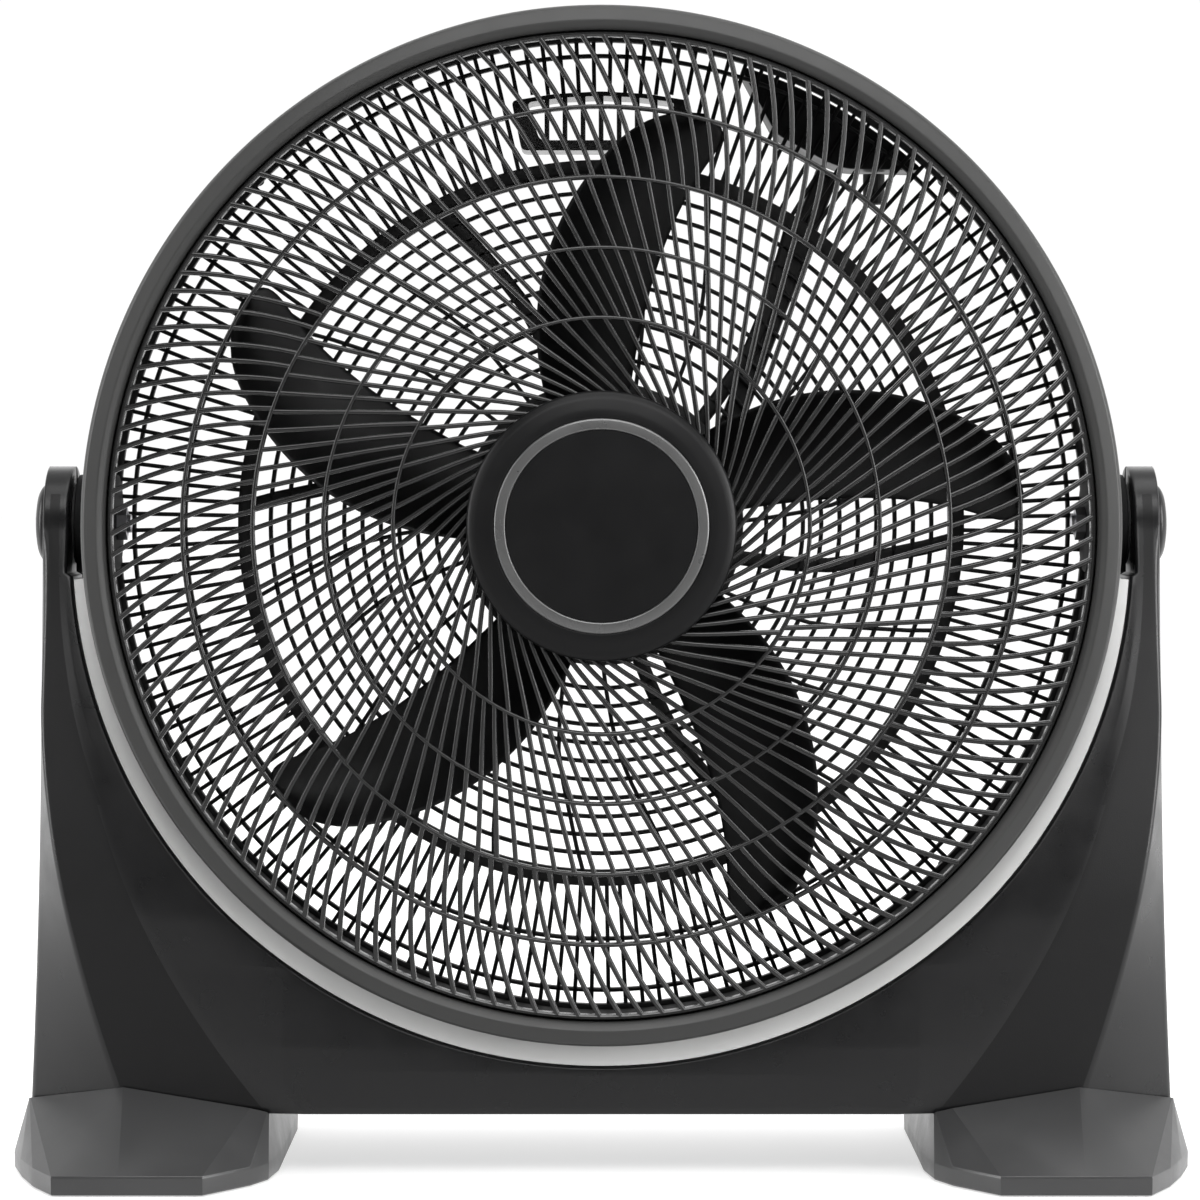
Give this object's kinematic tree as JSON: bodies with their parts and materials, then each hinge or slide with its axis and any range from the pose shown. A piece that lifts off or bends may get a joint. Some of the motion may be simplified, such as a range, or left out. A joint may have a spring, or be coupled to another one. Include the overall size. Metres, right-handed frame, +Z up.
{
  "type": "floor fan",
  "caption": "Round floor fan: a short drum with a spiral front grille and swept blades, tilting on two side pivots in a U-shaped cradle stand with splayed feet.",
  "frame": {"origin": "on the floor under the middle of the fan: the centre of the bounding box's bottom", "axes": "+Z up, front of the fan towards -Y, +X to the right seen from the front"},
  "size_m": [0.622, 0.262, 0.6113],
  "materials": {
    "charcoal_plastic": "satin moulded plastic",
    "black_plastic": "satin moulded plastic",
    "silver_trim": "satin silver paint on plastic",
    "gunmetal_trim": "satin gunmetal paint on plastic",
    "steel": "zinc plated",
    "aluminium": "die cast",
    "copper": "enamelled winding",
    "rubber": "matte",
    "switch_body": "moulded"
  },
  "bodies": {
    "stand": {"stand_front_shell": "charcoal_plastic", "stand_rear_shell": "charcoal_plastic", "cradle_trim": "silver_trim", "foot_left": "charcoal_plastic", "foot_right": "charcoal_plastic", "rubber_pad_1": "rubber", "rubber_pad_2": "rubber", "rubber_pad_3": "rubber", "rubber_pad_4": "rubber", "foot_screw_1": "steel", "foot_screw_2": "steel", "foot_screw_3": "steel", "foot_screw_4": "steel", "pivot_bolt_left": "steel", "pivot_bolt_right": "steel", "pivot_nut_left": "steel", "pivot_nut_right": "steel", "friction_washer_left": "rubber", "friction_washer_right": "rubber", "pivot_cap_left": "charcoal_plastic", "pivot_cap_right": "charcoal_plastic"},
    "head": {"front_grille": "charcoal_plastic", "hub_badge": "charcoal_plastic", "hub_accent_ring": "gunmetal_trim", "trim_ring": "gunmetal_trim", "drum": "charcoal_plastic", "rear_grille": "black_plastic", "carry_handle": "charcoal_plastic", "control_housing": "black_plastic", "control_cover": "black_plastic", "rotary_switch": "switch_body", "wire_duct": "black_plastic", "cord_gland": "rubber", "capacitor": "steel", "motor_front_bell": "aluminium", "motor_rear_bell": "aluminium", "stator": "steel", "front_winding": "copper", "rear_winding": "copper", "front_bearing": "steel", "rear_bearing": "steel", "motor_cover": "black_plastic", "pivot_boss_left": "charcoal_plastic", "pivot_boss_right": "charcoal_plastic", "motor_screw_1": "steel", "motor_screw_2": "steel", "motor_screw_3": "steel", "grille_screw_1": "steel", "grille_screw_2": "steel", "grille_screw_3": "steel", "grille_screw_4": "steel"},
    "blade_set": {"fan_blade": "black_plastic", "blade_nut": "charcoal_plastic", "blade_pin": "steel", "motor_shaft": "steel", "rotor": "steel"},
    "knob": {"speed_knob": "charcoal_plastic", "switch_spindle": "steel"}
  },
  "joints": [
    {"name": "head_tilt", "type": "hinge", "parent": "stand", "child": "head", "pos_m": [0, 0, 0.341], "axis": [-1, 0, 0], "range_deg": [0, 90]},
    {"name": "blade_spin", "type": "hinge", "parent": "head", "child": "blade_set", "pos_m": [0, -0.05, 0.341], "axis": [0, -1, 0], "continuous": true},
    {"name": "knob_turn", "type": "hinge", "parent": "head", "child": "knob", "pos_m": [0.12138, 0.065, 0.55554], "axis": [0, 1, 0], "range_deg": [0, 135]}
  ]
}
